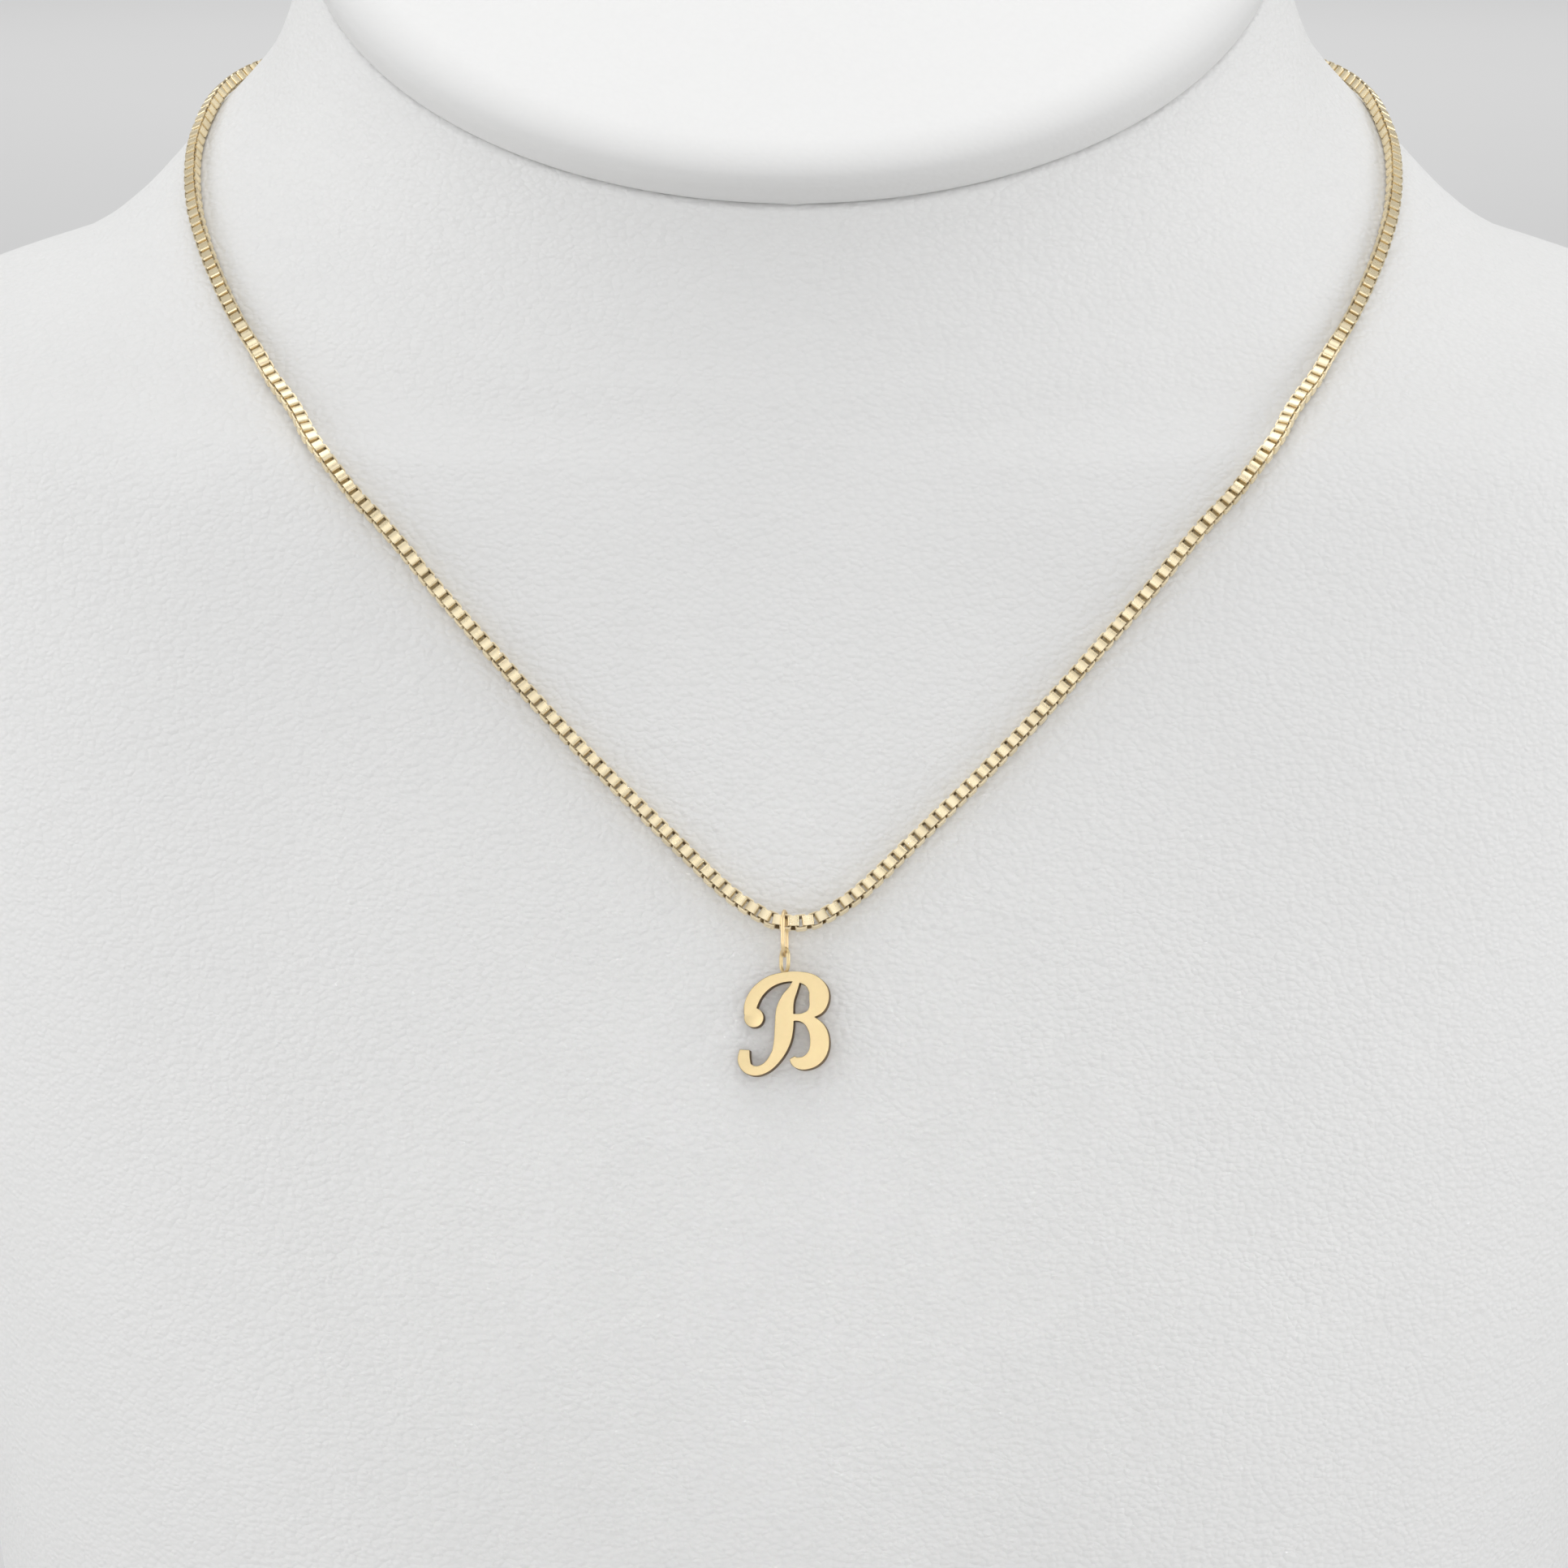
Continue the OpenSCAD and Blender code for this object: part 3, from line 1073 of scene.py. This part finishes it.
    def links(self) -> bpy.types.Object:
        """Sets a link at every step of the walk.

        Returns:
            All the links, as one joined mesh, with painted shade on their inner faces and a random
            tone for each link.
        """
        pattern = self.link()
        points = np.array([v.co for v in pattern.data.vertices])
        outline = np.array((self.wires.chain_w, self.link_l)) / 2 - self.strip_t / 2
        inner = np.all(np.abs(points[:, :2]) < outline, axis=1)
        faces = [list(p.vertices) for p in pattern.data.polygons]
        bpy.data.objects.remove(pattern, do_unlink=True)
        chance = random.Random(self.seed)
        all_points, all_faces, tones_and_shade = [], [], []
        for k, (middle, ahead, out) in enumerate(self.walk()):
            side = ahead.cross(out).normalized()
            up = side.cross(ahead)
            quarter = math.pi / 2 if k % 2 else 0.0
            turn = quarter + chance.uniform(-1, 1) * self.wobble + self.roll
            across = math.cos(turn) * side + math.sin(turn) * up
            axes = np.array([across, ahead, across.cross(ahead)])
            start = k * len(points)
            all_points.append(points @ axes + np.array(middle))
            all_faces += [[start + i for i in face] for face in faces]
            # Each link gets a random tone, and its inner faces get painted shade on top of it.
            tone = chance.uniform(-self.tone_spread, self.tone_spread)
            tones_and_shade.append(np.clip(self.hollow_shade * inner + tone, 0, 1))
        select_none()
        mesh = bpy.data.meshes.new("chain_links")
        mesh.from_pydata(np.concatenate(all_points).tolist(), [], all_faces)
        paint(mesh, np.concatenate(tones_and_shade))
        piece = bpy.data.objects.new("chain_links", mesh)
        bpy.context.scene.collection.objects.link(piece)
        smooth(piece, self.crease)
        return piece

    def end_eyes(self) -> bpy.types.Object:
        """Makes the eyes soldered to the chain's two ends.

        Returns:
            Both eyes, joined.
        """
        wires = self.wires
        upright = Matrix.Rotation(math.pi / 2, 4, "X")
        eyes = []
        for x in (wires.hook_x, wires.tail_x):
            eye = bent_wire("end_eye", wires.eye_r, wires.wire)
            place(eye, self.nape() @ Matrix.Translation((-x, 0, wires.clasp_out)) @ upright)
            eyes.append(eye)
        piece = join("chain_end_eyes", eyes)
        smooth(piece)
        return piece

    def build(self, gold: bpy.types.Material, wire_gold: bpy.types.Material) -> None:
        """Builds and dresses the chain.

        Args:
            gold: The links' material.
            wire_gold: The end eyes' material.
        """
        dress(self.links(), gold, Slot.CHAIN, "chain")
        dress(self.end_eyes(), wire_gold, Slot.RING, "chain")


@dataclass
class Pendant:
    """The bail and the script capital with its eye.

    Its sizes are in millimetres. The strokes' rows, the ball and the eye's seat are in hundredths
    of the letter's height.
    """

    chain: BoxChain
    letter_h: float = 11.1
    letter_t: float = 1.5
    letter_yaw: float = math.radians(8)
    letter_gap: float = 0.75
    foot_share: float = 0.47
    letter_station: float = 3.15
    face_round: float = 0.08
    back_round: float = 0.12
    round_share: float = 0.9
    flat_share: float = 0.05
    end_share: float = 0.05
    solder_r: float = 0.42
    solder_shape: Point = (1.0, 0.6, 0.8)
    # Painted shade on the letter's cut walls: it fades in as a normal turns away from the face's
    # axis, from the first share over the second.
    wall_shade_start: float = 0.92
    wall_shade_blend: float = 0.3
    crease: float = 40.0
    steps_per_row: int = 5
    eye_seat: tuple[float, float] = (1.0, 50.8)
    crown_ball: Point = (-28.4, 6.9, 9.6)
    crown: Rows = (
        (-32.4, 9.0, 5.8), (-31.0, 20.5, 6.6), (-24.6, 32.2, 6.4), (-13.0, 41.6, 5.7),
        (1.0, 45.8, 5.0), (15.0, 45.9, 5.3), (26.8, 42.0, 7.1), (34.0, 33.8, 9.3),
        (35.4, 25.0, 9.8), (33.0, 16.2, 8.2), (26.8, 9.8, 4.6), (18.0, 7.0, 3.4),
        (8.0, 6.6, 3.6),
    )
    stem: Rows = (
        (14.5, 44.0, 3.2), (9.6, 33.5, 4.8), (4.5, 24.0, 6.9), (1.8, 13.0, 8.7),
        (1.2, -2.0, 9.3), (-0.6, -16.0, 8.4), (-5.6, -29.3, 6.3), (-15.0, -40.6, 5.0),
        (-26.0, -45.0, 4.8), (-34.8, -41.8, 5.4), (-38.2, -34.0, 6.2), (-37.4, -24.0, 5.0),
    )
    bowl: Rows = (
        (8.0, 6.0, 3.0), (17.0, 6.0, 3.6), (26.0, 2.6, 6.0), (33.4, -6.0, 8.6),
        (35.8, -16.0, 9.4), (34.6, -26.0, 9.2), (29.6, -33.6, 8.2), (21.6, -37.8, 6.8),
        (15.0, -37.6, 5.8), (11.0, -35.2, 4.4), (9.4, -31.8, 2.6),
    )

    @property
    def part(self) -> float:
        """One hundredth of the letter's height, in millimetres."""
        return self.letter_h / 100

    def section(self, half: float) -> list[tuple[float, float]]:
        """Section across a stroke, with rounded edges.

        Args:
            half: Half of the stroke's width.

        Returns:
            Points as the place across the stroke and the height above its middle.
        """
        points = []
        for side, top, start in ((1, -1, -90), (1, 1, 0), (-1, 1, 90), (-1, -1, 180)):
            edge = min(self.face_round if top > 0 else self.back_round, half * self.round_share)
            x, z = side * (half - edge), top * (self.letter_t / 2 - edge)
            arc = [math.radians(start + turn) for turn in QUARTER]
            corner = [(x + edge * math.cos(a), z + edge * math.sin(a)) for a in arc]
            flat = (x - side * self.flat_share * half, top * self.letter_t / 2)
            points += [flat] + corner if side * top < 0 else corner + [flat]
        return points

    def stroke(self, name: str, rows: Rows) -> bpy.types.Object:
        """Sweeps one brush stroke.

        Args:
            name: The stroke's name.
            rows: Places and half widths, in hundredths of the letter's height.

        Returns:
            The stroke, a closed solid in millimetres with rounded ends.
        """
        table = np.array(rows) * self.part
        count = (len(table) - 1) * self.steps_per_row
        stops = [(k / self.steps_per_row, 0.0, 1.0) for k in range(1, count)]
        ends = [math.radians(turn) for turn in (90, 72, 54, 36, 18, 0)]
        head = [(0.0, math.sin(a), math.cos(a)) for a in ends]
        tail = [(float(len(table) - 1), math.sin(a), math.cos(a)) for a in reversed(ends)]
        rings = []
        for stop, back, share in head + stops + tail:
            x, y, half = along(table, stop)
            run = along(table, stop + STROKE_STEP) - along(table, stop - STROKE_STEP)
            run = Vector((run[0], run[1], 0)).normalized()
            across = Vector((-run.y, run.x, 0))
            end = {0.0: 1, float(len(table) - 1): -1}.get(float(stop), 0)
            tip = self.face_round * (1 - back) * end
            middle = Vector((x, y, 0)) + run * tip
            slim = 1 - (1 - share) * min(1.0, self.face_round / half)
            rings.append([
                middle + across * (s * slim) + Vector((0, 0, z * max(slim, self.end_share)))
                for s, z in self.section(half)])
        return wrap(name, rings, SEW_GAP / MM)

    def ball(self) -> bpy.types.Object:
        """Makes the round end of the crown stroke.

        Returns:
            A disc with rounded edges, in millimetres.
        """
        x, y, radius = (self.part * value for value in self.crown_ball)
        select_none()
        bpy.ops.mesh.primitive_cylinder_add(
            vertices=64, radius=radius, depth=self.letter_t, location=(x, y, 0))
        piece = named("crown_ball")
        bpy.ops.object.mode_set(mode="EDIT")
        pick(piece, "EDGE", lambda e: min(v.co.z for v in e.verts) > 0)
        bpy.ops.mesh.bevel(offset=self.face_round, segments=6, affect="EDGES")
        pick(piece, "EDGE", lambda e: max(v.co.z for v in e.verts) < 0)
        bpy.ops.mesh.bevel(offset=self.back_round, segments=3, affect="EDGES")
        bpy.ops.object.mode_set(mode="OBJECT")
        return piece

    def letter(self) -> bpy.types.Object:
        """Unites the strokes, the ball and the eye with its drop of solder.

        Returns:
            The letter in its place on the chest.
        """
        wires = self.chain.wires
        seat_x, seat_y = (self.part * value for value in self.eye_seat)
        wire, eye_r = wires.wire / MM, wires.eye_r / MM
        eye_up = seat_y + eye_r + wire / 2 - wires.solder_sink / MM
        piece = self.stroke("initial_letter_plate", self.crown)
        unite(piece, [self.stroke("stem", self.stem), self.stroke("bowl", self.bowl), self.ball()])
        bend_r = (wires.eye_depth / MM - wire) / 2
        straight = 2 * (eye_r - bend_r)
        eye = bent_wire("letter_eye", bend_r, wire, straight)
        place(eye, Matrix.Translation((seat_x, eye_up + straight / 2, 0))
              @ Matrix.Rotation(math.pi / 2 + wires.eye_turn, 4, "Y"))
        select_none()
        bpy.ops.mesh.primitive_uv_sphere_add(
            segments=24, ring_count=12, radius=self.solder_r, location=(seat_x, seat_y, 0),
            scale=self.solder_shape)
        unite(piece, [eye, named("solder")])
        sew(piece, SEW_GAP / MM)
        # Painted shade: the cut walls and rounded edges below the eye are stored as shaded, darker
        # and duller, standing in for the shadow and dark reflections that the walls show.
        paint(piece.data, [
            min(1.0, max(0.0, (self.wall_shade_start - abs(v.normal.z)) / self.wall_shade_blend))
            if v.co.y < seat_y else 0.0 for v in piece.data.vertices])
        out = wires.bail_out / MM - self.letter_t / 2 - self.letter_gap
        lean = math.asin(out / (eye_up + self.foot_share * self.letter_h))
        place(piece, self.chain.pendant_frame(self.letter_station)
              @ Matrix.Translation((0, wires.eye_y, 0)) @ Matrix.Rotation(-self.letter_yaw, 4, "Y")
              @ Matrix.Rotation(lean, 4, "X") @ Matrix.Scale(MM, 4)
              @ Matrix.Translation((-seat_x, -eye_up, 0)))
        smooth(piece, self.crease)
        return piece

    def bail(self) -> bpy.types.Object:
        """Bends the bail, a long jump ring.

        Returns:
            The bail in its place round the chain.
        """
        wires = self.chain.wires
        straight = wires.bail_h - wires.wire - 2 * wires.bail_r
        piece = bent_wire("bail_wire", wires.bail_r, wires.wire, straight)
        place(piece, self.chain.pendant_frame(self.letter_station)
              @ Matrix.Translation((0, wires.bail_top - wires.bail_r, 0))
              @ Matrix.Rotation(math.pi / 2 - wires.bail_turn, 4, "Y"))
        smooth(piece)
        return piece

    def build(self, gold: bpy.types.Material, wire_gold: bpy.types.Material) -> None:
        """Builds and dresses the pendant.

        Args:
            gold: The letter's material.
            wire_gold: The bail's material.
        """
        dress(self.letter(), gold, Slot.LETTER, "initial_letter")
        dress(self.bail(), wire_gold, Slot.RING, "bail_ring")


@dataclass
class Clasp:
    """The spring ring that closes the chain at the nape."""

    chain: BoxChain
    bolt_wire: float = 0.00066
    bolt_from: float = 200.0
    bolt_to: float = 245.0
    sides: int = 20
    steps: int = 96

    def body(self) -> bpy.types.Object:
        """Makes the ring, with its thinner bolt.

        Returns:
            The closed ring round Z.
        """
        wires = self.chain.wires
        rings = []
        for k in range(self.steps + 1):
            turn = 360 * k / self.steps
            thin = self.bolt_from < turn < self.bolt_to
            wire_r = (self.bolt_wire if thin else wires.clasp_wire) / 2
            c, s = math.cos(math.radians(turn)), math.sin(math.radians(turn))
            ring = []
            for i in range(self.sides):
                a = 2 * math.pi * i / self.sides
                reach = wires.clasp_r + wire_r * math.cos(a)
                ring.append(Vector((reach * c, reach * s, wire_r * math.sin(a))))
            rings.append(ring)
        return wrap("clasp_ring", rings)

    def build(self, wire_gold: bpy.types.Material) -> None:
        """Builds and dresses the clasp.

        Args:
            wire_gold: Its material.
        """
        wires = self.chain.wires
        eyelet = bent_wire("eyelet", wires.eyelet_r, wires.wire)
        place(eyelet, Matrix.Translation((-wires.eyelet_x, 0, 0)))
        piece = join("spring_ring", [self.body(), eyelet])
        place(piece, self.chain.nape() @ Matrix.Translation((0, 0, wires.clasp_out)))
        smooth(piece)
        dress(piece, wire_gold, Slot.RING, "clasp")


@dataclass(frozen=True)
class Lamp:
    """A soft lamp, round or oval, aimed at a point, with the angle of its beam."""

    name: str
    at: Point
    wide: float
    high: float
    watts: float
    aim: Point = (0.0, -0.03, 0.12)
    spread: float = math.pi


@dataclass
class Studio:
    """Floor, light and camera."""

    floor_size: float = 24.0
    camera_at: Point = (-0.00108, -0.7365, 0.2444)
    camera_pitch: float = math.radians(10)
    lens: float = 148.95
    sensor: float = 36.0
    world_light: float = 0.42
    lamps: tuple[Lamp, ...] = (
        Lamp("overhead", (0.0, 0.1, 1.6), 1.4, 1.4, 7.2),
        Lamp("side_left", (-1.5, 0.0, 0.5), 1.0, 1.0, 7.6),
        Lamp("side_right", (1.5, 0.0, 0.5), 1.0, 1.0, 6.8),
        Lamp("low_right", (1.5, -0.3, 0.25), 0.9, 0.9, 1.6),
        Lamp("key_left", (-1.3, -1.25, 0.8), 1.4, 1.0, 1.2),
        Lamp("key_right", (1.3, -1.25, 0.8), 1.4, 1.0, 0.85),
        Lamp("softbox", (0.0, -1.3, 1.35), 2.7, 0.7, 3.4),
        Lamp("front_high", (-0.3, -1.75, 0.65), 0.9, 0.9, 1.8),
        Lamp("front", (0.0, -1.85, 0.42), 0.9, 0.9, 3.4),
        Lamp("chest_light", (0.0, -1.83, 0.486), 0.1, 0.1, 0.0024, (0.0, -0.075, 0.077), 0.06),
        Lamp("floor_light", (0.0, 3.2, 1.8), 3.0, 3.0, 29.5, (0.0, 3.2, 0.0)),
    )

    def floor(self) -> None:
        """Lays the pale floor."""
        select_none()
        bpy.ops.mesh.primitive_plane_add(size=self.floor_size, location=(0, 0, 0))
        piece = named("pale_floor")
        piece.data.materials.append(PaleFloor().material())

    def camera(self) -> None:
        """Sets the camera at the photograph's viewing angle."""
        bpy.ops.object.camera_add(
            location=self.camera_at, rotation=(math.pi / 2 - self.camera_pitch, 0, 0))
        camera = bpy.context.active_object
        camera.name = "studio_camera"
        camera.data.lens = self.lens
        camera.data.sensor_width = self.sensor
        camera.data.clip_start = 0.01
        camera.data.clip_end = 50
        bpy.context.scene.camera = camera

    def light(self) -> None:
        """Sets the soft lamps and the even light all round."""
        for lamp in self.lamps:
            bpy.ops.object.light_add(type="AREA", location=lamp.at)
            light = bpy.context.active_object
            light.name = lamp.name
            light.data.shape = "ELLIPSE"
            light.data.size = lamp.wide
            light.data.size_y = lamp.high
            light.data.energy = lamp.watts
            light.data.spread = lamp.spread
            ahead = Vector(lamp.aim) - Vector(lamp.at)
            light.rotation_euler = ahead.to_track_quat("-Z", "Y").to_euler()
        world = bpy.data.worlds.new("studio_world")
        world.use_nodes = True
        background = world.node_tree.nodes["Background"]
        background.inputs["Color"].default_value = (1, 1, 1, 1)
        background.inputs["Strength"].default_value = self.world_light
        bpy.context.scene.world = world

    def build(self) -> None:
        """Builds the studio round the object."""
        self.camera()
        self.floor()
        self.light()
        bpy.context.scene.view_settings.view_transform = "Standard"
        LOG.info("studio: floor, camera and %d lamps", len(self.lamps))


BUST_LEATHERETTE = Leatherette(
    name="bust_leatherette", pebble=0.0009, depth=0.00024, dark=(0.75, 0.75, 0.745),
    light=(0.83, 0.83, 0.825), roughness=0.62)
# The cap's leatherette is a lighter copy of the bust's: painted light on the cap's top, which faces
# up to the lamps. Its default shade colour is the painted shade of its side band.
CAP_LEATHERETTE = Leatherette(
    name="cap_leatherette", pebble=0.0008, depth=0.00004, dark=(0.88, 0.88, 0.875),
    light=(0.92, 0.92, 0.915), roughness=0.6)
# The shade colours of the chain and the letter are painted shade: on the links' inner faces and on
# the letter's cut walls.
CHAIN_GOLD = Gold(
    name="chain_gold", dark=(0.97, 0.815, 0.52), light=(0.99, 0.87, 0.62), roughness=0.28,
    speck=0.0002, depth=0.000002, shade=(0.17, 0.11, 0.045), metal=0.8)
RING_GOLD = Gold(
    name="ring_gold", dark=(0.80, 0.61, 0.34), light=(0.85, 0.67, 0.40), roughness=0.32,
    speck=0.0002, depth=0.0000006)
LETTER_GOLD = Gold(
    name="letter_gold", dark=(0.69, 0.55, 0.305), light=(0.74, 0.595, 0.345), roughness=0.36,
    speck=0.00012, depth=0.000003, shade=(0.19, 0.12, 0.05))


def main() -> None:
    """Builds the studio and every piece in order."""
    logging.basicConfig(level=logging.INFO, format="%(name)s: %(message)s")
    Studio().build()
    skin = Skin()
    Bust(skin).build(BUST_LEATHERETTE.material(), CAP_LEATHERETTE.material())
    ring_gold = RING_GOLD.material()
    chain = BoxChain(skin, Wires())
    chain.build(CHAIN_GOLD.material(), ring_gold)
    Pendant(chain).build(LETTER_GOLD.material(), ring_gold)
    Clasp(chain).build(ring_gold)


if __name__ == "__main__":
    main()
